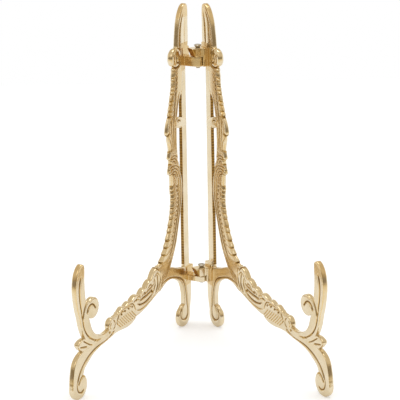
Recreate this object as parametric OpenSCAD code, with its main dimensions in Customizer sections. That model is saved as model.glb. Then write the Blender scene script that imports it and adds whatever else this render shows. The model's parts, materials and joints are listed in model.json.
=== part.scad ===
// Folding stand for a photo album: two ornate cast side castings, hinged like a book on two screws.

/* [Stand] */
// Height from the feet to the tips of the horns
stand_h = 300; // [288:1:315]
// Reach of a side casting, from the back of its horn to the front of its foot
reach = 208.4; // [198:0.2:216]
// Angle between the two side castings when the stand is set up
open_angle = 57; // [40:1:80]

/* [Upright] */
// Width of the flat bar of the upright at the lower hinge
bar_w = 10.4; // [9:0.1:12]
// Width of the flat bar under the upper hinge
bar_top_w = 8.4; // [7.4:0.1:9.4]
// Thickness of the flat bar of the upright
bar_t = 3; // [2.6:0.1:4]
// Breadth of the horn at its root
horn_w = 19.6; // [17:0.2:21]
// Distance by which the tip of the horn leans back
horn_lean = 8; // [5:0.5:10]
// Thickness of the horn, the leaf limb, the seat and the feet
cast_t = 4.8; // [4.4:0.1:6]
// Thickness of the panelled arm
arm_t = 5.6; // [5:0.1:7]
// Bevel along the edges of the casting
bevel = 1; // [0.5:0.1:1.3]

/* [Leaf limb] */
// Height of the middle of the knob on the front of the limb
knob_h = 255; // [252:0.5:259]
// Distance from the back of the upright to the middle of the knob
knob_u = 18; // [16:0.2:20]
// Radius of the knob
knob_r = 7.8; // [7:0.2:9]
// Distance from the back of the upright to the middle of the limb at its upper bow
bow_u = 26.4; // [24:0.2:30]
// Height of the upper bow
bow_h = 189; // [182:1:196]
// Distance from the back of the upright to the middle of the limb at its waist
waist_u = 19.8; // [18:0.2:22]
// Height of the waist
waist_h = 133; // [127:1:139]
// Distance from the back of the upright to the middle of the limb at its elbow
elbow_u = 48.5; // [44:0.5:53]
// Height of the elbow, where the limb turns into the arm
elbow_h = 66.5; // [63:0.5:70]
// Length by which the leaf tips stand out of the edge of the limb
leaf_tip = 2.6; // [1.4:0.1:4]

/* [Arm and seat] */
// Height of the middle of the arm at its panel
arm_h = 46; // [43:0.5:49]
// Width of the panelled arm
arm_w = 17.6; // [15:0.2:20]
// Distance from the back of the upright to the lowest point of the seat
seat_u = 150; // [146:0.5:154]
// Height of the lowest point of the seat on which the album stands
seat_h = 43.2; // [40:0.2:46]
// Distance from the lowest point of the seat forward to the middle of the hook
hook_out = 36.2; // [33:0.2:40]
// Height of the tip of the hook that holds the album in
hook_h = 114; // [106:0.5:124]
// Width of the hook
hook_w = 13.8; // [12:0.2:15.6]
// Radius of the scroll on the inside of the hook
scroll_r = 9.2; // [8:0.1:10]

/* [Feet] */
// Radius of the scroll of the front foot
front_scroll_r = 11; // [10:0.1:12]
// Radius of the scroll of the rear foot
rear_scroll_r = 10.8; // [9.8:0.1:11.8]
// Width of the groove that winds round a scroll
groove_w = 1.2; // [0.8:0.1:1.6]
// Depth of that groove
groove_depth = 0.6; // [0.3:0.1:1]

/* [Hinges] */
// Height of the upper hinge, at the joint between its two lugs, on a stand of the drawn height
upper_hinge_h = 253.5; // [248:0.5:259]
// Height of the lower hinge, at the joint between its two lugs, on a stand of the drawn height
lower_hinge_h = 47.9; // [44:0.1:51]
// Height of the two lugs of the right casting, which lie on top
top_lug_h = 7.8; // [6.6:0.1:9]
// Height of the upper lug of the left casting
upper_lug_h = 8.6; // [7:0.1:10]
// Height of the lower lug of the left casting
lower_lug_h = 5.4; // [4.6:0.1:6.6]
// Width of a lug, and the diameter of its round end
lug_w = 9.5; // [8.5:0.1:10.5]
// Distance from the middle of the left casting to the hinge line
left_lug = 13.7; // [12.4:0.1:16]
// Distance from the middle of the right casting to the hinge line
right_lug = 8.5; // [8.3:0.1:12]
// Length by which the tongues of the right casting run on past their round ends, at the top
nose = 2.2; // [1:0.1:2.8]
// Distance by which the lips of the right casting stop short of the hinge line
lip_in = 2; // [1.2:0.1:3]
// Height by which the roots on the right casting stand above its tongues
root_rise = 3.6; // [2:0.1:5]
// Distance of the hinge line behind the back of the upright
hinge_back = 1; // [0:0.1:3]
// Gap between the faces of two lugs
lug_gap = 0.2; // [0.1:0.05:0.4]
// Gap between the round end of a lug and the shoulder of the other casting
shoulder_gap = 0.5; // [0.3:0.1:1]

/* [Screws] */
// Diameter of the shank of a hinge screw
screw_d = 3.5; // [3:0.1:4]
// Radial clearance of the shank in the lugs
bore_gap = 0.05; // [0.02:0.01:0.08]
// Diameter of the head
head_d = 6.8; // [6:0.1:8]
// Height of the cone under the head
cone_h = 2.4; // [1.8:0.1:3]
// Height of the oval top of the head
oval_h = 0.9; // [0.6:0.1:1.2]
// Width of the driving slot
slot_w = 0.9; // [0.6:0.1:1.2]
// Depth of the driving slot below the edge of the head
slot_depth = 0.4; // [0.2:0.1:0.8]
// Length of the shank that stands out below the lower lug
shank_out = 1.6; // [0.4:0.1:3]

/* [Hidden] */

brass = [0.80, 0.63, 0.33];
steel = [0.72, 0.72, 0.70];

// The castings are drawn this high, and all their heights grow with the stated one.
drawn_h = 300;
growth = stand_h / drawn_h;

tilt = open_angle / 2;
bore_r = screw_d / 2 + bore_gap;
half_t = cast_t / 2;
// how far the rounds of the feet reach below the floor before they are ground flat
foot_sink = 0.5;
// how far the back of the horn stands behind the back of the upright
horn_back = 4.9;
// step in thickness between neighbouring members of the relief
layer = 0.15;
// the middles of the three scrolls and of the hook
rear_scroll_u = rear_scroll_r + 0.8;
front_scroll_u = reach - horn_back - front_scroll_r - 0.1;
hook_u = seat_u + hook_out;
scroll_u = hook_u - 18;
scroll_h = seat_h + 28.8;

// The hinge line lies so that the stand is centred on the origin.
hinge_x = (left_lug - right_lug) * cos(tilt) / 2;
edge_v = half_t - bevel;
rear_y = (horn_back - hinge_back) * cos(tilt) + (edge_v + left_lug) * sin(tilt);
front_y = (reach - horn_back + hinge_back) * cos(tilt) + (edge_v - right_lug) * sin(tilt);
hinge_y = (front_y - rear_y) / 2;

// ---- curves and lofted bars ------------------------------------------------------------------
// The castings are drawn in their own plane: u runs forward from the back of the upright, w runs up.

// A point of the smooth curve from b to c, with a before it and d after it
function between(a, b, c, d, t) =
    (2 * b + (c - a) * t + (2 * a - 5 * b + 4 * c - d) * t * t
        + (3 * b - a - 3 * c + d) * t * t * t) / 2;

// The smooth curve through all stations [u, w, half width, half thickness], n steps for each span
function smooth(st, n) = let (last = len(st) - 1) [
    for (i = [0:last - 1], k = [0:n - 1])
        between(st[max(i - 1, 0)], st[i], st[i + 1], st[min(i + 2, last)], k / n),
    st[last]
];

// Direction of a path at its point i
function heading(p, i) = let (
    a = p[max(i - 1, 0)],
    b = p[min(i + 1, len(p) - 1)],
    d = [b[0] - a[0], b[1] - a[1]]
) d / norm(d);

// A station beyond the end of a path, that rounds the end off
function end_station(s, dir) = let (a = 62) [
    s[0] + dir[0] * s[2] * sin(a), s[1] + dir[1] * s[2] * sin(a),
    s[2] * cos(a), s[3] * 0.8
];

function round_ends(p) = let (n = len(p) - 1) concat(
    [end_station(p[0], -heading(p, 0))],
    p,
    [end_station(p[n], heading(p, n))]
);

// The bevelled section of a bar, [across, through], round its eight corners
function section(hw, ht) = let (c = min(bevel, hw * 0.6, ht * 0.6)) [
    [hw, ht - c], [hw - c, ht], [c - hw, ht], [-hw, ht - c],
    [-hw, c - ht], [c - hw, -ht], [hw - c, -ht], [hw, c - ht]
];

// A cast bar with bevelled edges and round ends along stations [u, w, half width, half thickness]
module bar(stations) {
    p = round_ends(stations);
    rings = len(p);
    points = [
        for (i = [0:rings - 1])
            let (dir = heading(p, i), across = [-dir[1], dir[0]])
            for (c = section(p[i][2], p[i][3]))
                [p[i][0] + across[0] * c[0], c[1], p[i][1] + across[1] * c[0]]
    ];
    walls = [
        for (i = [0:rings - 2], k = [0:7])
            let (a = i * 8 + k, b = i * 8 + (k + 1) % 8)
            [a, b, b + 8, a + 8]
    ];
    caps = [[for (k = [7:-1:0]) k], [for (k = [0:7]) (rings - 1) * 8 + k]];
    polyhedron(points, concat(walls, caps));
}

// A round boss in the plane of the casting
module boss(u, w, r, t) {
    translate([u, 0, w]) rotate([90, 0, 0])
        cylinder(h = t, r = r, center = true, $fn = 36);
}

// A disc with bevelled edges, the body of a scroll, t thick from its middle plane
module disc(u, w, r, t) {
    translate([u, 0, w]) rotate([90, 0, 0]) rotate_extrude($fn = 32)
        polygon([
            [0, -t], [r - bevel, -t], [r, bevel - t],
            [r, t - bevel], [r - bevel, t], [0, t]
        ]);
}

// The groove of a scroll, an arc cut into both faces of its disc
module scroll_groove(u, w, r, t, from, sweep) {
    for (face = [-t, t])
        translate([u, face, w]) rotate([90, 0, 0]) rotate([0, 0, from])
            rotate_extrude(angle = sweep, $fn = 32)
                translate([r - groove_w / 2, -groove_depth]) square([groove_w, 2 * groove_depth]);
}

// ---- parts of a side casting -----------------------------------------------------------------

// The horn above the upper hinge leans back to its tip: [share of height, of breadth, of lean]
module horn() {
    tip = drawn_h - upper_hinge_h;
    bar([
        for (s = [
            [-0.1, 0.98, 0], [0.28, 1, 0.2], [0.42, 0.97, 0.27], [0.6, 0.88, 0.38],
            [0.75, 0.74, 0.56], [0.86, 0.56, 0.76], [0.945, 0.36, 0.95]
        ])
            [horn_w / 2 - 3 - horn_lean * s[2], upper_hinge_h + tip * s[0],
                horn_w / 2 * s[1], half_t - 0.3]
    ]);
}

// The flat bar from the horn down to the rear foot, a little narrower at the top
module flat_bar() {
    low = lower_hinge_h - lower_lug_h;
    high = upper_hinge_h + top_lug_h;
    rotate([90, 0, 0]) translate([0, 0, -bar_t / 2]) linear_extrude(bar_t)
        polygon([[0, low], [bar_w, low], [bar_top_w, high], [0, high]]);
}

// Stations of the limb, from the horn down the double bow and out along the arm
function limb_stations() = let (t = half_t, ta = arm_t / 2, a = arm_w / 2) [
    [knob_u - 8, knob_h + 1, 9, t],
    [knob_u - 4.4, knob_h - 15, 7.6, t],
    [bow_u - 11, bow_h + 38, 7.4, t],
    [bow_u - 6.6, bow_h + 28, 5.9, t],
    [bow_u - 3.8, bow_h + 18, 6.1, t],
    [bow_u - 1.5, bow_h + 10, 6.9, t],
    [bow_u, bow_h, 7.5, t],
    [bow_u - 1, bow_h - 13, 6.3, t],
    [waist_u + 4.4, waist_h + 29, 6.6, t],
    [waist_u + 2.4, waist_h + 18, 7.9, t],
    [waist_u + 0.4, waist_h + 5, 8.8, t],
    [waist_u, waist_h - 6, 8, t],
    [waist_u + 3.2, waist_h - 21, 7.2, t],
    [waist_u + 8.4, waist_h - 36, 7.6, t],
    [elbow_u - 16, elbow_h + 20.5, 8.2, t],
    [elbow_u - 9, elbow_h + 9.5, 8.4, ta],
    [elbow_u, elbow_h - 0.6, a + 0.6, ta],
    [elbow_u + 11.5, elbow_h - 7.6, a + 0.6, ta],
    [elbow_u + 21.5, elbow_h - 11.7, a, ta],
    [elbow_u + 31.5, arm_h + 5.3, a - 0.5, ta],
    [elbow_u + 41.5, arm_h + 3.2, a - 0.5, ta],
    [elbow_u + 51.5, arm_h + 2.1, a - 0.3, ta],
    [seat_u - 40, arm_h + 0.8, a, ta],
    [seat_u - 30, arm_h - 0.1, a, ta],
    [seat_u - 20, arm_h - 0.8, a - 0.6, ta],
    [seat_u - 14, arm_h - 1.6, a - 2.2, ta]
];

module limb() {
    bar(smooth(limb_stations(), 2));
}

// The round knob, a leaf curled over a ball
module knob() {
    boss(knob_u, knob_h, knob_r, cast_t + 2 * layer);
    boss(knob_u, knob_h, knob_r * 0.6, cast_t + 1.6);
}

// One leaf tip: a small pointed lobe that leans downstream out of the edge of the limb
module leaf(u, w, angle, long, wide) {
    bar([
        [u, w, wide * 0.7, half_t - 0.3],
        [u + cos(angle) * long * 0.5, w + sin(angle) * long * 0.5, wide, half_t - 0.5],
        [u + cos(angle) * long, w + sin(angle) * long, wide * 0.45, half_t - 1]
    ]);
}

// Leaf tips along the free edge of the limb, from its station a to its station b
module leaf_row(a, b, count, long, wide, lean, more = 0) {
    steps = 12;
    path = smooth(limb_stations(), steps);
    for (k = [0:count - 1]) {
        i = round((a + (b - a) * k / max(count - 1, 1)) * steps);
        s = path[i];
        dir = heading(path, i);
        out = [-dir[1], dir[0]];
        root = s[2] - long * cos(lean) + leaf_tip + more;
        leaf(s[0] + out[0] * root, s[1] + out[1] * root, atan2(out[1], out[0]) - lean, long, wide);
    }
}

// The bud that ties the limb to the upright
module bud() {
    h = bow_h + 6;
    bar([
        [bar_w * 0.5, h - 2, 3.4, bar_t / 2],
        [bar_w + 2, h, 5.2, half_t],
        [bow_u - 5, h + 2.6, 4.6, half_t - 0.3]
    ]);
}

// The band from the lower hinge over the arch to the arm
module arch() {
    t = half_t - 2 * layer;
    bar(smooth([
        [lug_w / 2 - hinge_back, lower_hinge_h, 6.4, t],
        [bar_w - 1, lower_hinge_h + 1.6, 6.8, t],
        [bar_w + 6, lower_hinge_h + 4.7, 6.2, t],
        [bar_w + 14, elbow_h - 11, 5.4, t],
        [elbow_u - 14.5, elbow_h - 7.6, 5.6, t],
        [elbow_u - 3.5, elbow_h - 7, 6.4, t],
        [elbow_u + 8.5, elbow_h - 10.4, 7.2, t]
    ], 3));
}

// The leg under the arch, that curls forward into the scroll of the rear foot
module rear_foot() {
    r = rear_scroll_r;
    leg = bar_w * 0.54;
    t = half_t - layer;
    bar(smooth([
        [leg, lower_hinge_h - 2, 6.4, t],
        [leg, lower_hinge_h - 18, 6.2, t],
        [leg + 0.7, r + 4, 5.8, t]
    ], 3));
    disc(rear_scroll_u, r - foot_sink, r, half_t);
}

// The seat: it leaves the arm, dips under the album, rises and ends in a scroll
module seat() {
    t = half_t;
    r = scroll_r;
    bar(smooth([
        [seat_u - 18, seat_h - 1.4, 4.2, t],
        [seat_u - 7, seat_h - 3.2, 4.2, t],
        [seat_u + 2, seat_h - 4.1, 4.1, t],
        [seat_u + 10, seat_h - 2.6, 4.4, t],
        [hook_u - 17.7, seat_h + 1.2, 5, t],
        [hook_u - 11.7, seat_h + 8, 5, t],
        [hook_u - 8.6, seat_h + 16, 5, t],
        [scroll_u + r * 1.22, scroll_h - r * 0.7, 5, t],
        [scroll_u + r * 1.2, scroll_h, 4.6, t],
        [scroll_u + r * 0.8, scroll_h + r * 0.5, 4.2, t]
    ], 3));
    disc(scroll_u - 0.4, scroll_h + 0.2, r, half_t + layer);
}

// The upright leaf of the hook in front of the album
module hook() {
    t = half_t + layer;
    half = hook_w / 2;
    bar(smooth([
        [hook_u - 14.6, seat_h + 0.8, 4.4, t],
        [hook_u - 8.6, seat_h + 8.8, 4.6, t],
        [hook_u - 4.6, seat_h + 18, 4.8, t],
        [hook_u - 2.4, seat_h + 27, 4.8, t],
        [hook_u - 1.6, seat_h + 35, half - 0.6, t],
        [hook_u - 0.3, seat_h + 45, half - 0.1, t],
        [hook_u, hook_h - 17, half, t],
        [hook_u - 1, hook_h - 10, half - 0.7, t],
        [hook_u - 2.6, hook_h - 5.4, half - 2, t],
        [hook_u - 4, hook_h - 2.8, half - 3.4, t]
    ], 2));
}

// The pointed tab between the hook and the front foot
module tab() {
    t = half_t + 2 * layer;
    bar(smooth([
        [hook_u - 15, seat_h - 2, 3.4, t],
        [hook_u - 6.6, seat_h + 0.6, 4.7, t],
        [hook_u + 0.8, seat_h + 2.3, 4.2, t],
        [hook_u + 4, seat_h + 3, 2.4, t]
    ], 2));
}

// The front foot: it leaves the seat, sweeps down and curls back into its scroll
module front_foot() {
    t = half_t - layer;
    r = front_scroll_r;
    u = front_scroll_u;
    w = r - foot_sink;
    bar(smooth([
        [seat_u - 3, seat_h - 4.6, 3.4, t],
        [seat_u + 10, seat_h - 5.6, 3.5, t],
        [seat_u + 20, seat_h - 6.9, 4.3, t],
        [seat_u + 29, seat_h - 8.8, 6.4, t],
        [u - 2.5, seat_h - 13.6, 8.2, t],
        [u + 1.5, w + 11.8, 7.8, t],
        [u + 4, w + 4.4, 6.6, t]
    ], 3));
    disc(u, w, r, half_t + layer);
}

// ---- hinge lugs ------------------------------------------------------------------------------

// The lug of one hinge: a root on the casting and a tongue with a round end over the hinge line;
// the tongue of the right casting (side 1) lies on that of the left casting (side -1)
module lug(joint_h, low_h, lug_reach, side) {
    tongue_z = side > 0 ? joint_h + lug_gap / 2 : joint_h - lug_gap / 2 - low_h;
    tongue_h = side > 0 ? top_lug_h : low_h;
    translate([-hinge_back, 0, tongue_z]) linear_extrude(tongue_h) {
        translate([0, lug_reach]) circle(d = lug_w, $fn = 48);
        translate([-lug_w / 2, 0]) square([lug_w, lug_reach]);
    }
    // the root is as high as both tongues and stops short of the other casting's tongue
    root_v = min(lug_reach - lug_w / 2 - shoulder_gap, half_t);
    root_z = joint_h - low_h - lug_gap / 2;
    root_h = low_h + top_lug_h + lug_gap;
    inset = 0.3;
    translate([-hinge_back - lug_w / 2, inset - half_t, root_z])
        cube([lug_w + hinge_back + 2, half_t + root_v - inset,
            root_h + (side > 0 ? root_rise : 0)]);
    if (side > 0) {
        // a lip in front of both tongues, and the slanted nose of the upper one
        translate([-hinge_back, 0, root_z]) cube([lug_w / 2 + 2, lug_reach - lip_in, root_h]);
        translate([-hinge_back - lug_w / 2, lug_reach, tongue_z]) rotate([90, 0, 90])
            linear_extrude(lug_w) polygon([
                [0, 0], [lug_w / 2, 0], [lug_w / 2 + nose, tongue_h], [0, tongue_h]
            ]);
    }
}

// Room for the other casting's tongue to swing, and the bore through this casting's own tongue
module lug_cuts(joint_h, low_h, lug_reach, side) {
    other_z = side > 0 ? joint_h - low_h - lug_gap : joint_h - lug_gap / 2;
    other_h = side > 0 ? low_h : top_lug_h;
    translate([-hinge_back, lug_reach, other_z])
        cylinder(h = other_h + 1.5 * lug_gap, r = lug_w / 2 + shoulder_gap, $fn = 48);
    translate([-hinge_back, lug_reach, joint_h - 2 * low_h])
        cylinder(h = 2 * (low_h + top_lug_h), r = bore_r, $fn = 48);
}

// ---- a whole side casting, standing on its feet in its own plane -----------------------------

// All of the casting but its lugs, with its feet ground flat, brought to the stated reach and height
module relief() {
    resize([reach, 0, stand_h]) difference() {
        union() {
            horn();
            flat_bar();
            knob();
            limb();
            bud();
            arch();
            rear_foot();
            seat();
            hook();
            tab();
            front_foot();
            // the upper leaf, the big tip and the two lobes under it, the long leaf, the elbow
            leaf_row(0.6, 4.7, 8, 6.4, 2.4, 40);
            leaf_row(5.7, 5.7, 1, 8, 3.6, 20);
            leaf_row(7.4, 8.5, 2, 8, 4.6, 20, 1);
            leaf_row(10.1, 15.3, 8, 6.4, 3, 45);
            leaf_row(16.1, 19.3, 4, 6.4, 3.6, 40);
        }
        scroll_groove(rear_scroll_u, rear_scroll_r - foot_sink, rear_scroll_r * 0.6,
            half_t, 150, 270);
        scroll_groove(front_scroll_u, front_scroll_r - foot_sink, front_scroll_r * 0.6,
            half_t + layer, 120, 270);
        scroll_groove(scroll_u - 0.4, scroll_h + 0.2, scroll_r * 0.55, half_t + layer, 60, 270);
        translate([-reach, -reach, -reach]) cube([3 * reach, 2 * reach, reach]);
    }
}

module side_casting(lug_reach, side) {
    difference() {
        union() {
            relief();
            lug(growth * upper_hinge_h, upper_lug_h, lug_reach, side);
            lug(growth * lower_hinge_h, lower_lug_h, lug_reach, side);
        }
        lug_cuts(growth * upper_hinge_h, upper_lug_h, lug_reach, side);
        lug_cuts(growth * lower_hinge_h, lower_lug_h, lug_reach, side);
    }
}

// Stands a casting up at its side of the hinge line
module stood(lug_reach) {
    rotate(-90 - tilt) translate([hinge_back, -lug_reach, 0]) children();
}

// ---- the pieces ------------------------------------------------------------------------------

module left_casting() {
    color(brass) translate([hinge_x, hinge_y, 0])
        stood(left_lug) side_casting(left_lug, -1);
}

module right_casting() {
    color(brass) translate([hinge_x, hinge_y, 0]) mirror([1, 0, 0])
        stood(right_lug) side_casting(right_lug, 1);
}

// A hinge screw with an oval head, through the upper lug and into the lower one
module hinge_screw(joint_h, low_h) {
    head_z = joint_h + lug_gap / 2 + top_lug_h;
    end_z = joint_h - lug_gap / 2 - low_h - shank_out;
    top_r = (pow(head_d / 2, 2) + pow(oval_h, 2)) / (2 * oval_h);
    color(steel) translate([hinge_x, hinge_y, 0]) difference() {
        union() {
            translate([0, 0, end_z]) cylinder(h = head_z + cone_h - end_z, d = screw_d, $fn = 48);
            translate([0, 0, head_z]) cylinder(h = cone_h, d1 = screw_d, d2 = head_d, $fn = 48);
            translate([0, 0, head_z + cone_h]) intersection() {
                translate([0, 0, oval_h - top_r]) sphere(r = top_r, $fn = 96);
                cylinder(h = oval_h, d = head_d, $fn = 48);
            }
        }
        translate([-head_d, -slot_w / 2, head_z + cone_h - slot_depth])
            cube([2 * head_d, slot_w, slot_depth + 2 * oval_h]);
    }
}

module upper_hinge_screw() { hinge_screw(growth * upper_hinge_h, upper_lug_h); }
module lower_hinge_screw() { hinge_screw(growth * lower_hinge_h, lower_lug_h); }

left_casting();
right_casting();
upper_hinge_screw();
lower_hinge_screw();
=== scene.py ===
import json
import math
import bpy
import numpy as np
from mathutils import Matrix, Vector


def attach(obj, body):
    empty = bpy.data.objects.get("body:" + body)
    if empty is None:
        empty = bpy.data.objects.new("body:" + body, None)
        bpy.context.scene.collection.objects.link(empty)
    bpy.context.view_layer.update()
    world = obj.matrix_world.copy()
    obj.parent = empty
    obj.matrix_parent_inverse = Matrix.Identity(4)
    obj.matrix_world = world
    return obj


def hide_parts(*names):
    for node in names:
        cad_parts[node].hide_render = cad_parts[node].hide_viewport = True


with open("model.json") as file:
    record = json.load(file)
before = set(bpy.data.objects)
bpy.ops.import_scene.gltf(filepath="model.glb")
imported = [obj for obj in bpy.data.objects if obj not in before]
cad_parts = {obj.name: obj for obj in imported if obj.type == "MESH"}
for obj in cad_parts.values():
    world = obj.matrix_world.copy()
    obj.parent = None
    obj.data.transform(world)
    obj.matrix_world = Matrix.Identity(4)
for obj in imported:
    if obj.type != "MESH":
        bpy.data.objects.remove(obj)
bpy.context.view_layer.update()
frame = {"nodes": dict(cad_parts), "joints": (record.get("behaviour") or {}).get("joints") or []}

# ==== the two side castings ======================================================================
# Each side of the stand is one open brass casting, sand-cast with its ornament, its feet and its
# hinge lugs, and polished by hand. The two mirror each other but for their lugs, and turn like the
# covers of a book on the two hinge screws.

# ---- the plane in which a casting is drawn ------------------------------------------------------
# u runs forward from the back of the upright and w runs up, in millimetres. Two fields hold the
# drawing: how far a place is outside the outline, and how far the surface stands out of the middle
# plane there, the same on both faces.

CELL = 0.25
U0, W0 = -8.0, -2.0
FIELD_LENGTH, FIELD_HEIGHT = 220, 305
OPEN_AIR, LEAST_HEIGHT = 9.0, 1.0  # the two fields where nothing is drawn
FAR_OFF = 99.0                     # further than any path reaches
u_axis = U0 + CELL * np.arange(round(FIELD_LENGTH / CELL))
w_axis = W0 + CELL * np.arange(round(FIELD_HEIGHT / CELL))
uu, ww = np.meshgrid(u_axis, w_axis, indexing="ij")
outside = np.full(uu.shape, OPEN_AIR)
height = np.full(uu.shape, LEAST_HEIGHT)


def smooth_path(points, steps=8):
    """The smooth curve through rows of numbers, all columns alike."""
    p = np.array(points, float)
    p = np.vstack([p[:1], p, p[-1:]])
    rows = []
    for a, b, c, d in zip(p[:-3], p[1:-2], p[2:-1], p[3:]):
        for t in np.arange(steps) / steps:
            rows.append((2 * b + (c - a) * t + (2 * a - 5 * b + 4 * c - d) * t * t
                         + (3 * b - a - 3 * c + d) * t ** 3) / 2)
    rows.append(p[-1])
    return np.array(rows)


def near_path(path, reach):
    """Round a path of rows [u, w, half width]: the window, how far each place is beyond the half
    width, how far it is from the middle (more than nothing on the left hand), how far it is along
    the path, and the half width there."""
    grow = path[:, 2].max() + reach
    first = np.maximum(((path[:, :2].min(0) - grow - (U0, W0)) / CELL).astype(int), 0)
    last = ((path[:, :2].max(0) + grow - (U0, W0)) / CELL).astype(int) + 2
    window = (slice(first[0], last[0]), slice(first[1], last[1]))
    shape = uu[window].shape
    beyond, across = np.full(shape, FAR_OFF), np.full(shape, FAR_OFF)
    along, half = np.zeros(shape), np.ones(shape)
    run = 0.0
    for a, b in zip(path[:-1], path[1:]):
        e = b[:2] - a[:2]
        length = max(np.hypot(*e), 1e-6)
        lo = ((np.minimum(a[:2], b[:2]) - grow - (U0, W0)) / CELL).astype(int) - first
        hi = ((np.maximum(a[:2], b[:2]) + grow - (U0, W0)) / CELL).astype(int) + 2 - first
        part = (slice(max(lo[0], 0), hi[0]), slice(max(lo[1], 0), hi[1]))
        u, w = uu[window][part] - a[0], ww[window][part] - a[1]
        t = np.clip((u * e[0] + w * e[1]) / length ** 2, 0, 1)
        r = a[2] + t * (b[2] - a[2])
        far = np.hypot(u - t * e[0], w - t * e[1])
        closer = far - r < beyond[part]
        for field, value in ((beyond, far - r), (across, np.copysign(far, e[0] * w - e[1] * u)),
                             (along, run + t * length), (half, r)):
            field[part] = np.where(closer, value, field[part])
        run += length
    return window, beyond, across, along, half


def soft_min(a, b, k):
    """The lesser of two values, with the corner between them filled over a width k."""
    h = np.clip(0.5 + 0.5 * (b - a) / k, 0, 1)
    return b + (a - b) * h - k * h * (1 - h)


def blur(field, cells, times):
    """The field with each value spread evenly over so many cells to either side, so many times."""
    for _ in range(times):
        for axis in (0, 1):
            wide = np.concatenate([np.take(field, [0] * (cells + 1), axis), field,
                                   np.take(field, [-1] * cells, axis)], axis)
            total = np.cumsum(wide, axis)
            size = field.shape[axis]
            ahead = np.take(total, np.arange(2 * cells + 1, size + 2 * cells + 1), axis)
            field = (ahead - np.take(total, np.arange(size), axis)) / (2 * cells + 1)
    return field


RUN_OUT = 1.5  # the surface of a member runs on so far past its outline, under its neighbours


def slab(x, lo, hi):
    """How far a place is outside the space between two planes."""
    return np.maximum(lo - x, x - hi)


def raise_to(window, beyond, top):
    """Lifts the surface to a height, where it isn't higher already."""
    height[window] = np.where(beyond < RUN_OUT, np.maximum(height[window], top), height[window])


def member(points, middle, edge, fillet=1.0, steps=8, crown=2.0):
    """A cast member along [u, w, half width], crowned from its edge up to its middle height."""
    window, beyond, across, _, half = near_path(smooth_path(points, steps), 2 * RUN_OUT)
    share = np.clip(np.abs(across) / half, 0, 1)
    outside[window] = soft_min(outside[window], beyond, fillet)
    raise_to(window, beyond, edge + (middle - edge) * (1 - share ** crown) ** 0.5)


def groove(points, width, depth, taper=0.15, steps=8):
    """A line cut into the surface, which thins out over a share of its length at either end."""
    path = smooth_path([(u, w, 0) for u, w in points], steps)
    window, far, _, along, _ = near_path(path, 3 * width)
    length = np.hypot(*np.diff(path[:, :2], axis=0).T).sum()
    ends = np.clip(np.minimum(along, length - along) / (taper * length), 0, 1) ** 0.6
    height[window] -= depth * ends * np.exp(-(far / (width * (0.5 + 0.5 * ends))) ** 2)


def bead(u, w, r, rise):
    """A small dome, or a round pit where rise is less than nothing."""
    window, far, _, _, _ = near_path(np.array([[u, w, 0.0], [u + 0.01, w, 0.0]]), 2 * r)
    height[window] += rise * np.clip(1 - (far / r) ** 2, 0, 1)


# ---- the upright --------------------------------------------------------------------------------

# Its flat bar is plain, and narrower at the upper hinge than at the lower one.
BAR_WIDTH, BAR_TAPER, BAR_HALF_T = 10.4, 2.0, 1.5
TAPER_FOOT, TAPER_TOP = 42, 252
BAR_FOOT, BAR_TOP = 43, 262


def bar_width(w):
    """The width of the flat bar at a height."""
    return BAR_WIDTH - BAR_TAPER * np.clip((w - TAPER_FOOT) / (TAPER_TOP - TAPER_FOOT), 0, 1)


bar = np.maximum(slab(uu, 0, bar_width(ww)), slab(ww, BAR_FOOT, BAR_TOP))
outside = np.minimum(outside, bar)
height = np.where(bar < 0.5, BAR_HALF_T, height)

# The horn is a leaning blade with a ridge down its middle.
member([(6.2, 258, 9.6), (5.2, 266.5, 9.7), (4.6, 273, 9.4), (3.8, 281.4, 8.5), (2.3, 288.4, 7.2),
        (0.7, 293.5, 5.4), (-0.8, 296.6, 3.3)], 2.3, 1.9, crown=6)
groove([(-1.6, 295), (0.8, 288), (2.2, 280), (2.8, 270), (3, 262)], 1.8, 0.4, taper=0.3)
groove([(2.6, 294.5), (7, 288), (10.2, 279), (11.4, 270), (11.8, 258), (11.4, 240), (11.8, 226)],
       1.1, 0.5, taper=0.3)

# ---- the leaf limb, from the knob down the double bow and out along the arm ---------------------

limb = smooth_path([
    (10, 256, 9), (13.6, 240, 7.6), (15.4, 227, 7.2), (19.8, 217, 5.9), (22.6, 207, 6.1),
    (24.9, 199, 6.9), (26.4, 189, 7.5), (25.4, 176, 6.3), (24.2, 162, 6.6), (22.2, 151, 7.9),
    (20.2, 138, 8.8), (19.8, 127, 8), (23, 112, 7.2), (28.2, 97, 7.6), (32.5, 87, 8.2),
    (39.5, 76, 8.4), (48.5, 65.9, 9.4), (60, 58.9, 9.4), (70, 54.8, 8.8), (80, 51.3, 8.3),
    (90, 49.2, 8.3), (100, 48.1, 8.5), (110, 46.8, 8.8), (120, 45.9, 8.8), (130, 45.2, 8.2),
    (136, 44.4, 6.6)], steps=14)
limb_run = np.concatenate([[0], np.cumsum(np.hypot(*np.diff(limb[:, :2], axis=0).T))])
limb_window, limb_beyond, limb_across, limb_along, limb_half = near_path(limb, reach=12)
limb_along = blur(limb_along, cells=3, times=2)
limb_half = blur(limb_half, cells=3, times=2)


def run_at(u, w):
    """How far along the limb the place nearest to a point is."""
    return limb_run[np.argmin(np.hypot(limb[:, 0] - u, limb[:, 1] - w))]


def on_limb(run, share):
    """The point at a distance along the limb, and at a share of its half width from its middle."""
    u, w, half = (np.interp(run, limb_run, limb[:, k]) for k in range(3))
    ahead = [np.interp(run + 0.5, limb_run, limb[:, k]) - np.interp(run - 0.5, limb_run, limb[:, k])
             for k in (0, 1)]
    size = math.hypot(*ahead)
    return u - ahead[1] / size * half * share, w + ahead[0] / size * half * share


def rail(share, start, end):
    """A groove that follows the limb between two distances along it."""
    groove([on_limb(run, share) for run in np.linspace(start, end, 12)], 0.65, 0.75,
           taper=0.12, steps=3)


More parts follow.
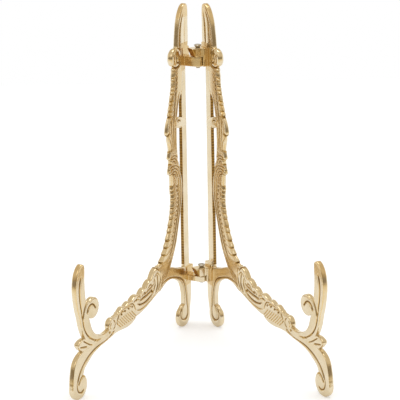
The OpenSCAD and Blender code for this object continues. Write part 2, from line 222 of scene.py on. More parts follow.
# Its free edge is cut into leaf tips. Each tip swells out and up towards its own end and then
# drops, so that the tips lie like shingles; the drops curl back into the leaf as veins.
DROP = 0.14                    # share of a tip's length over which it drops
WIDEST = 0.72                  # share of its length at which it stands out most
SWELLS, DRAWS_IN = 0.86, 0.28  # shares over which it swells up to there and draws in after it
UNEVEN = 0.9                   # by how much the ends of the tips stray


def leaf_tips(start, end, count, growth, reach, rise, lean, curl, deep):
    """How far a row of leaf tips lifts the limb, how far it swells its edge, and the shadow painted
    under the tips. A tip is as long as the one before it times the growth, more or less."""
    ends = start + (end - start) * (growth ** np.arange(count + 1) - 1) / (growth ** count - 1)
    ends[1:-1] += UNEVEN * np.sin(2.6 * np.arange(1, count))
    depth = limb_half - limb_across
    back = limb_along + lean * depth + curl * np.clip(depth, 0, None) ** 2
    live = (back > ends[0]) & (back < ends[-1]) & (limb_across > -limb_half)
    part = np.interp(back, ends, np.arange(count + 1.0)) % 1
    saw = np.minimum(part / (1 - DROP), (1 - part) / DROP)
    from_widest = (part - WIDEST) / np.where(part < WIDEST, SWELLS, DRAWS_IN)
    round_tip = np.sqrt(np.clip(1 - from_widest ** 2, 0, 1))
    fade = np.clip(1 - depth / deep, 0, 1) ** 0.8
    # Painted shadow under the drop at the end of each tip, near the free edge.
    under = np.where((part > 0.85) | (part < 0.05), np.clip(1 - depth / 3.5, 0, 1), 0)
    return (np.where(live, rise * (saw - 0.55) * fade, 0),
            np.where(live, reach * (round_tip - 0.35), 0),
            np.where(live, under, 0))


# From the top: the row of the upper leaf, the big tip on the bow, the two lobes under it, the row
# of the long leaf, and the last tip at the elbow.
limb_lift = np.zeros(limb_beyond.shape)
limb_swell = np.zeros(limb_beyond.shape)
limb_tip_shadow = np.zeros(limb_beyond.shape)
for start, end, count, growth, reach, rise, lean, curl, deep in (
        (run_at(10, 249), run_at(24.2, 201.4), 11, 1.03, 1.7, 0.6, 0.35, 0.10, 7),
        (run_at(24.2, 201.4), run_at(26.3, 187.6), 1, 1.01, 3.6, 0.8, 0.4, 0.05, 7),
        (run_at(25, 173.4), run_at(24.1, 165.2), 1, 1.01, 3.4, 0.9, 0.2, 0.05, 5),
        (run_at(23.6, 161), run_at(22.2, 151), 1, 1.01, 4.4, 1.0, 0.2, 0.03, 5),
        (run_at(20.5, 141), run_at(47.4, 67), 13, 1.07, 1.8, 0.6, 0.4, 0.10, 7.5),
        (run_at(47.4, 67), run_at(55, 62), 1, 1.01, 2.0, 0.7, 0.3, 0.0, 3)):
    lift, swell, under = leaf_tips(start, end, count, growth, reach, rise, lean, curl, deep)
    limb_lift += lift
    limb_swell += swell
    limb_tip_shadow += under

# The limb is gently crowned, and thins out towards its free edge.
LIMB_HALF_T, LIMB_CROWN = 2.0, 0.4
THINS_BY, THINS_OVER = 0.9, 1.8
free_side = limb_across > 0
limb_out = np.where(free_side, limb_beyond - limb_swell, limb_beyond)
outside[limb_window] = soft_min(outside[limb_window], limb_out, 1.0)
share = np.clip(np.abs(limb_across) / limb_half, 0, 1)
thin = np.where(free_side, THINS_BY * np.clip(1 + limb_out / THINS_OVER, 0, 1), 0)
raise_to(limb_window, limb_out,
         LIMB_HALF_T + LIMB_CROWN * np.sqrt(1 - share ** 4) + limb_lift - thin)

# A small spur stands out behind, where the long leaf leaves the upright.
member([(26, 93.6, 1.8), (23.6, 92.8, 1), (22.2, 92.4, 0.4)], 2.0, 1.6, fillet=0.6)

# The upper leaf has a smooth band along the upright, then flutes that run down into the bow.
groove([(17.4, 247), (17.8, 236), (19.2, 226), (21.2, 217), (23, 208), (24.4, 199), (25, 190),
        (24.8, 180), (24.6, 169)], 0.7, 0.8)
groove([(24.4, 222), (27, 214), (29.6, 207), (31, 200)], 0.8, 0.7)
groove([(13.4, 224), (17, 214), (19.6, 205), (21.4, 196), (22, 186), (21.4, 170)], 0.7, 0.6)
groove([(28, 203), (29, 196), (28.2, 188), (27, 180), (26.8, 170)], 0.8, 0.7)
groove([(34.4, 190), (32.2, 185), (29.6, 179), (28.8, 170)], 0.8, 0.7)
groove([(33.6, 182), (31.4, 177), (30.4, 172)], 0.7, 0.5)
groove([(22.8, 184), (22.6, 176), (22.4, 170)], 0.6, 0.5)

# Under the bow are two folds, one below the other, each a hood of nested arches.
HOOD_U = 26.6
HOOD_TURNS = np.radians((196, 168, 140, 112, 84, 60, 44))
for foot, hoods in ((159.4, (3.4, 6.4, 9.4)), (147.2, (3.6, 6.6, 9.6, 12.6))):
    for r in hoods:
        wide, tall = (0.92 + 0.006 * r) * r, 0.86 * r
        groove([(HOOD_U + wide * math.cos(a), foot + tall * math.sin(a)) for a in HOOD_TURNS],
               0.6, 0.7, taper=0.2)

# The long leaf has a smooth double band behind, and a row of pits where its veins start.
rail(-0.64, run_at(22.8, 154), run_at(36, 81))
rail(-0.2, run_at(21.6, 147), run_at(42, 73))
for k, run in enumerate(np.linspace(run_at(20.4, 139), run_at(33, 86), 15)):
    sway = 0.06 * math.sin(2.2 * k)
    groove([on_limb(run - 0.6, sway - 0.02), on_limb(run + 1.6, sway + 0.26)], 0.95,
           0.8 + 0.25 * math.sin(1.7 * k), taper=0.3)

# A bud ties the limb to the upright.
member([(5, 193, 3.2), (12.4, 195, 5.0), (20, 196.5, 4.8)], 2.6, 1.8, fillet=0.5, crown=3)
groove([(8.6, 200), (13, 201.8), (18, 201), (20.5, 198.5)], 0.8, 0.8)
groove([(13.4, 196.8), (16, 198), (18.4, 196.6)], 0.8, 0.9)
groove([(10, 190.6), (13.5, 191.4), (17.5, 191.6)], 0.7, 0.5)

# The knob at its top is a leaf curled over a ball.
KNOB_U, KNOB_W, KNOB_R = 17.8, 254.4, 8.3
member([(KNOB_U, KNOB_W, KNOB_R), (KNOB_U + 0.1, KNOB_W + 0.1, KNOB_R)], 3.8, 1.4, fillet=0.4,
       crown=2.6)
groove([(10.2, 251), (12.4, 247.4), (16, 245.8), (20, 246.2), (23.6, 248.4)], 0.8, 0.8)
groove([(12.8, 257), (13, 253), (15.6, 250.4), (18.6, 251.6), (18.8, 254.8), (16.4, 256)], 0.7, 0.8)
groove([(19, 262), (22.6, 259.6), (24, 255.6)], 0.7, 0.5)
groove([(20.6, 258), (22.4, 254), (21.4, 250)], 0.7, 0.5)

# ---- the arch and the rear foot -----------------------------------------------------------------

# The arch runs from the lower hinge to the arm, with grooves that gather from the long leaf.
member([(3.75, 47.9, 6.4), (9.4, 49.5, 6.8), (16.4, 52.6, 6.2), (24.4, 55.5, 5.4),
        (34, 58.9, 5.6), (45, 59.5, 6.4), (57, 56.1, 7.2)], 2.2, 1.6, crown=3)
groove([(20, 50.4), (28, 53.6), (38, 55.8), (48, 55.4), (57, 52.4)], 0.8, 0.7)
for k in range(4):
    groove([(33 + 2.6 * k, 76 - 4 * k), (42 + 1.6 * k, 66.5 - 3 * k), (55, 60 - 2 * k)], 0.6, 0.5)

# The rear foot is a leg that swings down out of the arch and curls into a scroll; one groove runs
# down them and round the eye of the scroll.
member([(4.8, 44.5, 7.2), (4.7, 34, 7.1), (5.2, 24, 6.6), (6.3, 14.8, 5.7)], 2.3, 1.7, crown=3)
member([(7.4, 33, 4.5), (9.6, 41, 4.7), (13.2, 47.4, 4.9), (20, 52, 4.2)], 2.3, 1.7, crown=3)
member([(11.6, 10.3, 10.7), (11.7, 10.4, 10.7)], 2.6, 1.8, crown=5)
groove([(26, 52.4), (20, 50.4), (14.8, 47), (11.2, 42), (9, 36), (7.6, 29), (6.8, 22), (6.2, 15),
        (8, 8.6), (13, 6.6), (17.8, 9.6), (18.8, 14.6), (17.4, 18.4), (14.8, 20.8)], 0.95, 0.9,
       taper=0.06)

# ---- the seat, the hook and the front foot ------------------------------------------------------

# The seat dips behind the hook and ends in a scroll.
member([(132, 41.8, 4.2), (143, 40, 4.2), (152, 39.1, 4.1), (160, 40.6, 4.4), (168.5, 44.4, 5),
        (174.5, 51.2, 5), (177.6, 59.2, 5), (179.4, 65.6, 5), (179.2, 72, 4.6),
        (175.6, 76.6, 4.2)], 2.5, 1.8, crown=4)
member([(167.8, 72.2, 9.1), (168, 72.3, 9.1)], 2.6, 1.8, crown=5)

# The hook is an upright leaf with a groove along its spine that runs on under the seat.
member([(171.6, 44, 4.4), (177.6, 52, 4.6), (181.6, 61.2, 4.8), (183.8, 70.2, 4.8),
        (184.6, 78.2, 6.3), (185.9, 88.2, 6.8), (186.2, 97, 6.9), (185.2, 104, 6.2),
        (183.6, 108.6, 4.9), (182.2, 111.2, 3.5)], 2.5, 1.9, crown=6)
groove([(184.6, 105), (187, 99), (187.8, 91), (187, 82), (185.6, 75), (184.8, 67.5)], 1.0, 1.0,
       taper=0.08)
groove([(172.6, 83), (177, 80.4), (180.6, 76), (183.2, 71), (184.6, 66)], 1.0, 0.9)
groove([(184.4, 68), (183.2, 61.6), (180.4, 55), (175.6, 49), (169.6, 44.4), (162.5, 41.4),
        (155, 40), (147, 40.2), (140.5, 42.8)], 1.0, 1.0, taper=0.05)
groove([(164.6, 70.4), (165.4, 73.4), (168.2, 75.6), (172.2, 75.8), (175.8, 73.6), (177.8, 69.8)],
       1.1, 1.1, taper=0.08)

# A small veined tab stands out in front, between hook and foot.
member([(171, 41.2, 3.2), (178.4, 43.4, 4.9), (184.6, 45, 5.4), (189.4, 46.4, 3), (191.6, 47, 1)],
       2.8, 1.8, fillet=0.3, steps=3, crown=3)
groove([(171, 40.4), (175.4, 42.2), (180.4, 45.4), (186, 49.4)], 0.8, 0.8)
groove([(179.4, 41.8), (185, 43.4), (191, 44.8)], 0.9, 0.8)
groove([(171, 39.8), (179, 39.4), (188, 38.6), (193, 37.6)], 0.9, 0.9)

# The front foot sweeps down and curls back into its scroll.
member([(147, 38.6, 3.4), (160, 37.6, 3.5), (170, 36.3, 4.3), (179, 34.4, 6.4),
        (189.9, 29.6, 8.2), (193.9, 22.3, 7.8), (196.4, 14.9, 6.5)], 2.5, 1.9, crown=6)
member([(192.4, 10.5, 10.9), (192.5, 10.5, 10.9)], 2.7, 1.8, crown=5)
groove([(135.6, 42), (140, 38.4), (147, 36.4), (156, 36), (165, 35.6), (174, 33.6), (182, 30.4),
        (189.4, 25.2), (194.8, 18.6), (196.8, 12.4), (195, 7), (190.6, 5), (186.8, 7.2)], 1.0, 1.0,
       taper=0.03)
groove([(184.6, 17.4), (188.2, 18.4), (191.8, 16.4), (195.4, 12.6)], 1.1, 1.0, taper=0.1)

# ---- the arm ------------------------------------------------------------------------------------

# Along its back lie round lobes, that get smaller towards the seat.
for points in (((55.6, 63, 2), (57, 68.4, 2.3), (60.8, 70.8, 2.3), (65.4, 68.9, 2.2), (69, 65, 2)),
               ((69.6, 60.8, 1.8), (71.8, 63.4, 2), (75.4, 63, 2.1), (79, 60.8, 1.9)),
               ((80.6, 57.4, 1.7), (83, 59.4, 1.9), (86.4, 58.8, 1.9), (89.4, 56.8, 1.7)),
               ((91.6, 55, 1.8), (95, 57.2, 1.9), (99.6, 57.6, 1.9), (104, 56.2, 1.7)),
               ((105.6, 54.4, 1.6), (110.4, 55.8, 1.8), (115.6, 54.4, 1.5)),
               ((116.6, 53.8, 1.5), (121.6, 54.6, 1.7), (126.8, 51.8, 1.4))):
    member(points, 2.7, 2.35, fillet=0.9, steps=6, crown=3)
    groove([(u + 0.4, w - r - 0.5) for u, w, r in points], 0.6, 0.55, taper=0.25, steps=6)

# Its panel hangs a little below the rest.
member([(102, 42, 4), (107, 40.8, 4.6), (112, 40.2, 4.6), (118, 40.2, 4.4), (125, 40.8, 3.9),
        (130, 41.6, 3.3)], 2.4, 1.8, fillet=1.2, crown=4)

# Under the lobes are a folded leaf and pointed loops.
groove([(54.2, 66), (55.2, 60), (57.6, 54.6), (60.6, 50.6)], 0.8, 0.7)
groove([(61, 67.6), (59.8, 63), (60.2, 56.5), (64.4, 50.4)], 1.0, 1.0)
groove([(66, 65), (64.8, 60.4), (65.6, 57), (69.4, 51.6)], 0.8, 0.7)
groove([(67, 57.4), (71, 55.2), (79, 53.6), (86, 53), (92, 52.4)], 0.9, 0.9)
groove([(68, 52.6), (75, 49.4), (83, 48), (91, 48.6), (97, 51.4)], 0.9, 0.9)
groove([(63, 49.6), (72, 46.2), (82, 44.4), (92, 44), (99, 46)], 0.8, 0.6)
groove([(67, 60.8), (70.4, 58.6), (75, 57.6), (80, 56.4), (86, 55.4)], 0.8, 0.7)
bead(70, 54, 2.1, -1.5)
bead(94.4, 54.4, 2.6, 0.6)
groove([(91, 51.4), (90.6, 55), (93.4, 57.6), (97, 56.6), (98.2, 53)], 0.7, 0.5)

# The panel has a line round it, a hatched field and a row of dots.
groove([(99.4, 45.6), (102, 51.6), (106, 54.4), (114, 54.4), (122, 53.4), (127.6, 51.2),
        (130.4, 47), (130.4, 41.6)], 0.8, 0.8)
for u in np.arange(101, 130, 3.4):
    groove([(u - 4.5, 38.6), (u + 1, 43.4), (u + 6.5, 48.8)], 0.65, 0.5)
for u, w in ((105.4, 51.6), (111.4, 52), (117.4, 51.8), (123.2, 50.6)):
    bead(u, w, 1.3, -1.0)

# A bud closes the arm at the seat.
member([(138.4, 46.4, 6.2), (138.6, 46.4, 6.2)], 2.9, 1.9, fillet=0.6, crown=3)
groove([(137.6, 51), (134.6, 47.6), (135.4, 43.6), (138.6, 41.8)], 0.9, 0.9)
groove([(141.6, 43), (142.8, 46.6), (140.6, 49.8)], 0.7, 0.5)

# The feet are ground flat.
outside = np.maximum(outside, -ww)

# ---- the patina and painted shade ---------------------------------------------------------------
# It stays where a place lies deep among its neighbours, and the outer edges are polished bare. A
# little of it stays on the knob. The same field paints reflections and shade as well: the warm
# reflection of the other casting over the leaf limb and the arch, a dark reflection at the tips of
# the horn and hook, and shadow under the leaf tips.

FULL_DEPTH = 0.36   # depth at which the patina is full
BARE_EDGE = 1.6     # how far the polish reaches in from an outer edge
LIMB_WARM_REFLECTION, TIP_SHADOW, THIN_PATINA_AND_SHADE = 0.2, 0.8, 0.25

patina_and_shade = np.clip((blur(height, cells=3, times=3) - height) / FULL_DEPTH, 0, 1)
patina_and_shade *= np.clip(-outside / BARE_EDGE, 0.2, 1)
# Painted reflection: a warm tint over the leaf limb, for the other casting mirrored in it.
on_leaf = (limb_out < -1.2) & (ww[limb_window] < 250) & (uu[limb_window] < 56)
patina_and_shade[limb_window] = np.maximum(patina_and_shade[limb_window], np.where(on_leaf, LIMB_WARM_REFLECTION, 0))
# Painted shadow under the leaf tips.
patina_and_shade[limb_window] = np.maximum(patina_and_shade[limb_window], TIP_SHADOW * limb_tip_shadow)
# Painted reflection: a thin warm brown on the arch for the other casting mirrored in it, and a dark
# reflection at the tips of the horn and hook; on the knob it is a thin patina.
on_arch = (outside < -0.8) & (uu > 11) & (uu < 46) & (ww > 40) & (ww < 66)
on_knob = np.hypot(uu - KNOB_U, ww - KNOB_W) < 6
on_tip = (ww > 288) | ((ww > 103) & (uu > 170))
patina_and_shade = np.where(on_arch | on_knob | on_tip, np.maximum(patina_and_shade, THIN_PATINA_AND_SHADE), patina_and_shade)
patina_and_shade = blur(patina_and_shade, cells=1, times=1)


def sample(field, u, w):
    """The value of a field between its cells."""
    x = np.clip((u - U0) / CELL, 0, len(u_axis) - 1.001)
    y = np.clip((w - W0) / CELL, 0, len(w_axis) - 1.001)
    i, j = x.astype(int), y.astype(int)
    x, y = x - i, y - j
    return ((field[i, j] * (1 - x) + field[i + 1, j] * x) * (1 - y)
            + (field[i, j + 1] * (1 - x) + field[i + 1, j + 1] * x) * y)


# ---- the hinge lugs -----------------------------------------------------------------------------
# Each casting carries a lug for either hinge, cast with it and faced: a square root and a tongue
# with a round end. The right casting's tongues lie on those of the left one; its roots stand a
# little higher, run out in a lip before both tongues, and its tongues end in a slanted nose.

HINGES = ((253.5, 8.6), (47.9, 5.4))      # height of the joint, and of the left lug under it
LUG_REACH = {"left": 13.7, "right": 8.5}  # from the middle of the casting to the hinge line
HINGE_BACK = 1.0              # how far the hinge line lies behind the back of the upright
LUG_W = 9.5                   # width of every lug, and diameter of its round end
TOP_LUG = 7.8                 # height of the right lugs
GAP = 0.2                     # between the tongues
SHOULDER = 0.5                # room round the end of the other casting's tongue
BORE = 1.8                    # radius of the hole for the screw
NOSE = 3.5                    # by how much a nose slants out over its height
LIP_IN, LIP_AHEAD = 2.0, 2.0  # how far a lip ends short of the hinge line, and stands forward
ROOT_OUT, ROOT_IN = 2.1, 2.4  # from the middle plane to the faces of a root
ROOT_AHEAD = 3.0              # how far a root stands forward of its tongue
ROOT_RISE = 3.6               # how far the right roots stand above their tongues
CAST_EDGE, LUG_EDGE, ROOT_EDGE, TONGUE_EDGE = 0.55, 0.4, 0.5, 0.2
WELD = 0.8                    # fillet between a lug and the casting


def rounded(a, b, r):
    """How far a place is outside two spaces at once, with the corner rounded to r."""
    a, b = a + r, b + r
    return np.minimum(np.maximum(a, b), 0) + np.hypot(np.maximum(a, 0), np.maximum(b, 0)) - r


def casting_field(u, v, w, side, flat, top):
    """Less than nothing inside the casting, where v is the distance from its middle plane towards
    the other casting, and flat and top are the outline and the height there."""
    body = rounded(flat, np.abs(v) - top, CAST_EDGE)
    reach = LUG_REACH[side]
    half = LUG_W / 2
    x = u + HINGE_BACK
    across_lug = slab(x, -half, half)
    from_axis = np.hypot(x, v - reach)
    for joint, low_h in HINGES:
        low, high = joint - low_h - GAP / 2, joint + TOP_LUG + GAP / 2
        if side == "right":
            own, other = (joint + GAP / 2, high), (low - 1, joint + GAP / 2)
        else:
            own, other = (low, joint - GAP / 2), (joint - GAP / 2, high + 1)
        tongue = np.minimum(rounded(across_lug, slab(v, 0, reach), TONGUE_EDGE), from_axis - half)
        root_top = high
        if side == "right":
            slant = reach + half + NOSE * (w - own[0]) / TOP_LUG
            tongue = np.minimum(tongue, rounded(across_lug, slab(v, reach, slant), ROOT_EDGE))
            lip = rounded(slab(x, 0, half + LIP_AHEAD), slab(v, 0, reach - LIP_IN), LUG_EDGE)
            body = np.minimum(body, rounded(lip, slab(w, low, high), LUG_EDGE))
            root_top = high + ROOT_RISE
        tongue = rounded(tongue, slab(w, *own), LUG_EDGE)
        root = rounded(slab(x, -half, half + ROOT_AHEAD), slab(v, -ROOT_OUT, ROOT_IN), ROOT_EDGE)
        root = rounded(root, slab(w, low, root_top), ROOT_EDGE)
        body = soft_min(body, np.minimum(tongue, root), WELD)
        # room for the other casting's tongue to swing, and the hole for the screw
        room = np.maximum(from_axis - half - SHOULDER, slab(w, *other))
        bore = np.maximum(from_axis - BORE, slab(w, joint - 20, joint + 20))
        body = np.maximum(body, -np.minimum(room, bore))
    return body


# ---- the surface of a casting -------------------------------------------------------------------
# It is found on a coarse grid first, and each of its points is then moved onto the true surface.

def net(field, origin, size):
    """The surface where a field on a grid passes nothing: one point in each cell that it crosses,
    and one face across each edge of the grid that it crosses."""
    inside = field < 0
    corners = [(i, j, k) for i in (0, 1) for j in (0, 1) for k in (0, 1)]
    n = np.array(field.shape) - 1

    def corner(a, c):
        return a[c[0]:c[0] + n[0], c[1]:c[1] + n[1], c[2]:c[2] + n[2]]

    count = sum(corner(inside, c).astype(np.int8) for c in corners)
    cells = np.argwhere((count > 0) & (count < len(corners)))
    number = np.full(n, -1, np.int32)
    number[tuple(cells.T)] = np.arange(len(cells))
    total = np.zeros((len(cells), 3))
    hits = np.zeros(len(cells))
    for a in corners:
        for axis in range(3):
            if a[axis]:
                continue
            b = list(a)
            b[axis] = 1
            fa = field[tuple((cells + a).T)]
            fb = field[tuple((cells + b).T)]
            crossed = (fa < 0) != (fb < 0)
            t = np.where(crossed, fa / np.where(crossed, fa - fb, 1), 0)
            place = np.array(a, float)[None, :].repeat(len(cells), 0)
            place[:, axis] = t
            total += place * crossed[:, None]
            hits += crossed
    points = np.array(origin) + (cells + total / hits[:, None]) * size
    faces = []
    for axis in range(3):
        p, q = (axis + 1) % 3, (axis + 2) % 3
        ahead = [slice(None)] * 3
        ahead[axis] = slice(1, None)
        behind = [slice(None)] * 3
        behind[axis] = slice(None, -1)
        a, b = inside[tuple(behind)], inside[tuple(ahead)]
        for flip, at in ((False, np.argwhere(a & ~b)), (True, np.argwhere(~a & b))):
            at = at[(at[:, p] > 0) & (at[:, q] > 0) & (at[:, p] < n[p]) & (at[:, q] < n[q])]
            ring = []
            for dp, dq in ((1, 1), (0, 1), (0, 0), (1, 0)):
                c = at.copy()
                c[:, p] -= dp
                c[:, q] -= dq
                ring.append(number[tuple(c.T)])
            ring = np.array(ring).T
            faces.append(ring[:, ::-1] if flip else ring)
    return points, np.concatenate(faces)


VOXEL = 0.5        # the cells of the coarse grid
PROBE = 0.06       # how far to either side the slope of the field is felt
LEAST_STEEP = 0.3  # a slope counts as at least so steep
GRID_LOW = np.array([-7.0, -3.9, -1.5])
GRID_FRONT, GRID_TOP = 204.5, 301.5


def casting_surface(side):
    """The points [u, v, w] and the faces of a casting, in its own plane."""
    grid_high = np.array([GRID_FRONT, LUG_REACH[side] + LUG_W / 2 + NOSE + 1, GRID_TOP])
    cells = np.ceil((grid_high - GRID_LOW) / VOXEL).astype(int)
    u, v, w = (GRID_LOW[k] + VOXEL * np.arange(cells[k]) for k in range(3))
    gu, gw = np.meshgrid(u, w, indexing="ij")
    flat = sample(outside, gu, gw)[:, None, :]
    top = sample(height, gu, gw)[:, None, :]
    field = casting_field(u[:, None, None], v[None, :, None], w[None, None, :], side, flat, top)
    points, faces = net(field.astype(np.float32), GRID_LOW, VOXEL)

    def exact(p):
        return casting_field(p[:, 0], p[:, 1], p[:, 2], side,
                             sample(outside, p[:, 0], p[:, 2]), sample(height, p[:, 0], p[:, 2]))

    for _ in range(3):
        here = exact(points)
        slope = np.stack([(exact(points + d) - exact(points - d)) / (2 * PROBE)
                          for d in PROBE * np.eye(3)], 1)
        steep = np.maximum((slope ** 2).sum(1), LEAST_STEEP)
        points -= np.clip(slope * (here / steep)[:, None], -VOXEL / 2, VOXEL / 2)
    points[:, 2] = np.maximum(points[:, 2], 0)
    return points, faces


CORNER_SHADE, NOSE_SHADE = 0.3, 0.5
RELIEF_REACH = 3.4   # no patina of the relief lies further than this from the middle plane


def casting_patina_and_shade(points, side):
    """How much patina and painted shade each point has: that of the relief, painted shade in the
    corners by the lugs and on the noses of the right tongues, and a spotty painted dark reflection
    on the edge of the flat bar that faces the limb."""
    u, v, w = points.T
    reach = LUG_REACH[side]
    patina = sample(patina_and_shade, u, w) * (np.abs(v) < RELIEF_REACH)
    for joint, low_h in HINGES:
        # Painted shade round the root of each lug, on the side towards the other casting.
        in_corner = ((v > 0.8) & (v < reach - LUG_W / 2 + 0.6)
                     & (u < LUG_W - 0.5) & (np.abs(w - joint) < low_h + 4))
        patina = np.where(in_corner, np.maximum(patina, CORNER_SHADE), patina)
        # Painted shade on the slanted nose of each right tongue.
        on_nose = (v > reach + LUG_W / 2 - 0.4) & (w > joint) & (w < joint + TOP_LUG - 0.5)
        patina = np.where(on_nose, NOSE_SHADE, patina)
    # Painted dark reflection along the forward edge of the flat bar, broken into spots.
    on_edge = (np.abs(u - bar_width(w)) < 0.5) & (w > 60) & (w < 220) & (np.abs(v) < BAR_HALF_T)
    spotty_edge_shade = 0.68 + 0.28 * np.sin(3.7 * w) * np.sin(1.3 * w + 1)
    return np.where(on_edge, spotty_edge_shade, patina)


MM = 0.001
TILT = math.radians(28.5)   # half the angle between the two sides
hinge = Vector(frame["joints"][0]["pos_m"]) / MM


def cast(side):
    """A casting as a mesh, stood up at its side of the hinge line."""
    points, faces = casting_surface(side)
    a, b = points[:, 0] + HINGE_BACK, points[:, 1] - LUG_REACH[side]
    turn = -(math.pi / 2 + TILT)
    x = a * math.cos(turn) - b * math.sin(turn)
    y = a * math.sin(turn) + b * math.cos(turn)
    if side == "right":
        x = -x
    else:
        faces = faces[:, ::-1]
    place = np.stack([x + hinge.x, y + hinge.y, points[:, 2]], 1) * MM
    mesh = bpy.data.meshes.new(side + "_side")
    mesh.from_pydata(place.tolist(), [], faces.tolist())
    mesh.update()
    mesh.shade_smooth()
    # The patina, with the painted reflections and shade, at each point.
    layer = mesh.attributes.new("patina_and_shade", "FLOAT", "POINT")
    layer.data.foreach_set("value", casting_patina_and_shade(points, side).astype(np.float32))
    piece = bpy.data.objects.new(side + "_side", mesh)
    bpy.context.scene.collection.objects.link(piece)
    return piece


# ---- polished brass -----------------------------------------------------------------------------

class Socket:
    """A value in a material, on which sums can be written."""
    tree = None

    def __init__(self, link):
        self.link = link

    @staticmethod
    def feed(node, inputs):
        """Gives a node's inputs their values or their links."""
        for key, value in inputs.items():
            if isinstance(value, Socket):
                Socket.tree.links.new(value.link, node.inputs[key])
            else:
                node.inputs[key].default_value = value

    @staticmethod
    def node(kind, settings, inputs, out=0):
        """One output of a new node, after its settings, or a ramp's stops, and its inputs."""
        made = Socket.tree.nodes.new(kind)
        for name, value in settings.items():
            if name == "stops":
                elements = made.color_ramp.elements
                elements.remove(elements[1])
                for k, (place, colour) in enumerate(value):
                    stop = elements[0] if k == 0 else elements.new(place)
                    stop.position = place
                    stop.color = (*colour, 1)
            else:
                setattr(made, name, value)
        Socket.feed(made, inputs)
        return Socket(made.outputs[out])

    @staticmethod
    def math(kind, one, other):
        """What a sum on two values gives."""
        return Socket.node("ShaderNodeMath", {"operation": kind}, {0: one, 1: other})

    def __add__(self, other):
        return Socket.math("ADD", self, other)

    def __sub__(self, other):
        return Socket.math("SUBTRACT", self, other)

    def __rsub__(self, other):
        return Socket.math("SUBTRACT", other, self)

    def __mul__(self, other):
        return Socket.math("MULTIPLY", self, other)

    __radd__ = __add__
    __rmul__ = __mul__


def noise(scale, detail, roughness=0.5):
    """A cloudy value that stays with the piece; the scale is in waves to a metre."""
    place = Socket.node("ShaderNodeTexCoord", {}, {}, "Object")
    return Socket.node("ShaderNodeTexNoise", {}, {"Vector": place, "Scale": scale, "Detail": detail,
                                                  "Roughness": roughness})


def rise_from(value, low, high, kind="LINEAR"):
    """Nothing where a value is low, and 1 where it is high."""
    return Socket.node("ShaderNodeMapRange", {"interpolation_type": kind, "clamp": True},
                       {0: value, 1: low, 2: high, 3: 0.0, 4: 1.0})


def ramp(value, *stops):
    """A colour that runs through stops of [value, colour]."""
    return Socket.node("ShaderNodeValToRGB", {"stops": stops}, {"Fac": value})


def mix(share, one, other):
    """One colour, and the other where the share is 1."""
    return Socket.node("ShaderNodeMix", {"data_type": "RGBA"}, {0: share, 6: one, 7: other}, 2)


def new_material(name):
    """An empty material, and its shader."""
    material = bpy.data.materials.new(name)
    material.use_nodes = True
    Socket.tree = material.node_tree
    return material, material.node_tree.nodes["Principled BSDF"]


# Pale gold where it is rubbed, brown where polish and age stay in the recesses; the same browns
# paint the reflections and shade that the patina attribute also carries.
brass, shader = new_material("polished_brass")
cloud = noise(60.0, 5.0, 0.6)
grain = noise(1100.0, 3.0)
waves = noise(160.0, 2.0)
deep = Socket.node("ShaderNodeAttribute", {"attribute_name": "patina_and_shade"}, {}, "Fac")
dark = rise_from(deep + (cloud - 0.5) * 0.3, 0.12, 0.85)
rubbed = ramp(cloud, (0.32, (0.80, 0.66, 0.42)), (0.68, (0.88, 0.77, 0.57)))
# Colours of the patina, which also paint the warm and dark reflections and the shade.
patina_shade_colour = ramp(dark, (0.0, (0.86, 0.61, 0.25)), (0.4, (0.62, 0.39, 0.12)),
               (1.0, (0.17, 0.085, 0.02)))
bump = Socket.node("ShaderNodeBump", {}, {"Strength": 0.12, "Distance": 0.0005,
                                          "Height": grain * 0.35 + waves})
Socket.feed(shader, {"Base Color": mix(rise_from(dark, 0.0, 0.4), rubbed, patina_shade_colour),
                     "Metallic": 1.0, "Roughness": 0.13 + cloud * 0.1 + dark * 0.25,
                     "Normal": bump})

for side in ("left", "right"):
    piece = cast(side)
    piece.data.materials.append(brass)
    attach(piece, side + "_side")
    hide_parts(side + "_casting")

# ==== the hinge screws ===========================================================================
# Two bright steel machine screws with slotted oval heads. Each goes down through the right
# casting's lug and is turned into the left one's, and the sides swing on its shank. Their solids
# are shown as they are, in steel.

steel, shader = new_material("screw_steel")
scuff = noise(1400.0, 4.0)
tone = ramp(scuff, (0.35, (0.50, 0.48, 0.44)), (0.65, (0.74, 0.73, 0.70)))
Socket.feed(shader, {"Base Color": tone, "Metallic": 1.0, "Roughness": 0.25 + scuff * 0.2})
for name in ("upper_hinge_screw", "lower_hinge_screw"):
    screw = frame["nodes"][name]
    screw.data.materials.clear()
    screw.data.materials.append(steel)

# ==== the floor and the light ====================================================================
# A sheet of white card under the stand, in a white studio that is dark where the camera stands.
# Both look a little brighter, straight or in a mirror, than the light that they give.

FLOOR_HALF, FLOOR_FRONT, FLOOR_BACK = 0.9, -0.12, 1.1


def seen_by():
    """1 for a ray from the camera, for one from something glossy and for one through glass."""
    rays = Socket.node("ShaderNodeLightPath", {}, {}).link.node
    return [Socket(rays.outputs[f"Is {kind} Ray"]) for kind in ("Camera", "Glossy", "Transmission")]


floor_mesh = bpy.data.meshes.new("floor")
floor_mesh.from_pydata([(-FLOOR_HALF, FLOOR_FRONT, 0), (FLOOR_HALF, FLOOR_FRONT, 0),
                        (FLOOR_HALF, FLOOR_BACK, 0), (-FLOOR_HALF, FLOOR_BACK, 0)], [],
                       [(0, 1, 2, 3)])
floor = bpy.data.objects.new("floor", floor_mesh)
bpy.context.scene.collection.objects.link(floor)
card, shader = new_material("white_card")
camera_ray, glossy_ray, clear_ray = seen_by()
Socket.feed(shader, {"Base Color": (0.86, 0.86, 0.86, 1), "Roughness": 0.8,
                     "Emission Color": (1, 1, 1, 1),
                     "Emission Strength": camera_ray * 0.3 + (glossy_ray + clear_ray) * 0.12})
floor_mesh.materials.append(card)

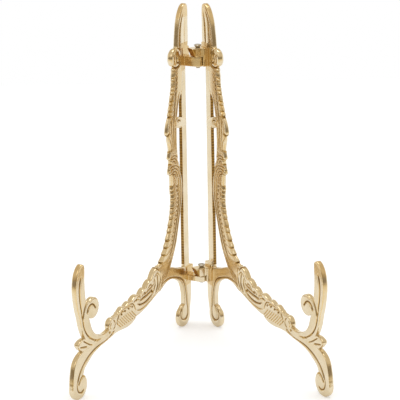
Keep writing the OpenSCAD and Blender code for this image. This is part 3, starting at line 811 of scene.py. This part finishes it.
# The brass mirrors white from behind and beside the stand, which turns to cream overhead, and from
# in front of it a dark band between two bands of cream.
world = bpy.data.worlds.new("studio")
bpy.context.scene.world = world
world.use_nodes = True
Socket.tree = world.node_tree
camera_ray, glossy_ray, clear_ray = seen_by()
way = Socket.node("ShaderNodeTexCoord", {}, {}, "Generated")
forward = Socket.node("ShaderNodeVectorMath", {"operation": "DOT_PRODUCT"},
                      {0: way, 1: (0.0, -1.0, 0.0)}, "Value")
upward = Socket.node("ShaderNodeVectorMath", {"operation": "DOT_PRODUCT"},
                     {0: way, 1: (0.0, 0.0, 1.0)}, "Value")
level = upward * 0.5 + 0.5
behind = ramp(level, (0.52, (1, 1, 1)), (0.70, (0.82, 0.74, 0.60)), (0.85, (0.66, 0.57, 0.43)))
before = ramp(level, (0.30, (0.95, 0.85, 0.66)), (0.38, (0.74, 0.60, 0.36)),
              (0.45, (0.24, 0.18, 0.11)), (0.58, (0.27, 0.21, 0.13)),
              (0.68, (0.62, 0.51, 0.35)), (0.85, (0.76, 0.67, 0.52)))
mirrored = mix(rise_from(forward, 0.2, 0.5, "SMOOTHSTEP"), behind, before)
Socket.feed(world.node_tree.nodes["Background"], {
    "Color": mix(glossy_ray, (1, 1, 1, 1), mirrored),
    "Strength": 0.85 + (camera_ray + glossy_ray + clear_ray) * 0.15})


def soft_light(name, place, aim, size, power):
    """A soft box that is turned towards a point."""
    lamp = bpy.data.lights.new(name, "AREA")
    lamp.shape = "RECTANGLE"
    lamp.size, lamp.size_y = size
    lamp.energy = power
    holder = bpy.data.objects.new(name, lamp)
    holder.location = place
    holder.rotation_euler = (Vector(aim) - Vector(place)).to_track_quat("-Z", "Y").to_euler()
    bpy.context.scene.collection.objects.link(holder)


soft_light("overhead", (0.1, 0.25, 1.4), (0, 0, 0.1), (0.9, 0.4), 3)
soft_light("key", (-0.7, -1.0, 1.3), (0, 0, 0.15), (0.6, 0.6), 1.4)

# ==== the camera =================================================================================
# It looks slightly down at the stand from in front, and is held a degree out of level.

LOOK_AT = Vector((0.0, hinge.y * MM - 0.0356, 0.1313))
RISE = math.radians(17.1)
ROLL = math.radians(-1.03)
DISTANCE = 1.35
away = Vector((0, -math.cos(RISE), math.sin(RISE)))
right = Vector((1, 0, 0))
up = Vector((0, math.sin(RISE), math.cos(RISE)))
right, up = (right * math.cos(ROLL) + up * math.sin(ROLL),
             up * math.cos(ROLL) - right * math.sin(ROLL))
lens = bpy.data.cameras.new("camera")
lens.lens = 137.03
lens.sensor_width = 36
lens.shift_x = 0.0055
lens.clip_start = 0.05
camera = bpy.data.objects.new("camera", lens)
camera.matrix_world = Matrix.LocRotScale(LOOK_AT + away * DISTANCE,
                                         Matrix((right, up, away)).transposed(), None)
bpy.context.scene.collection.objects.link(camera)
bpy.context.scene.camera = camera
bpy.context.scene.view_settings.view_transform = "Standard"
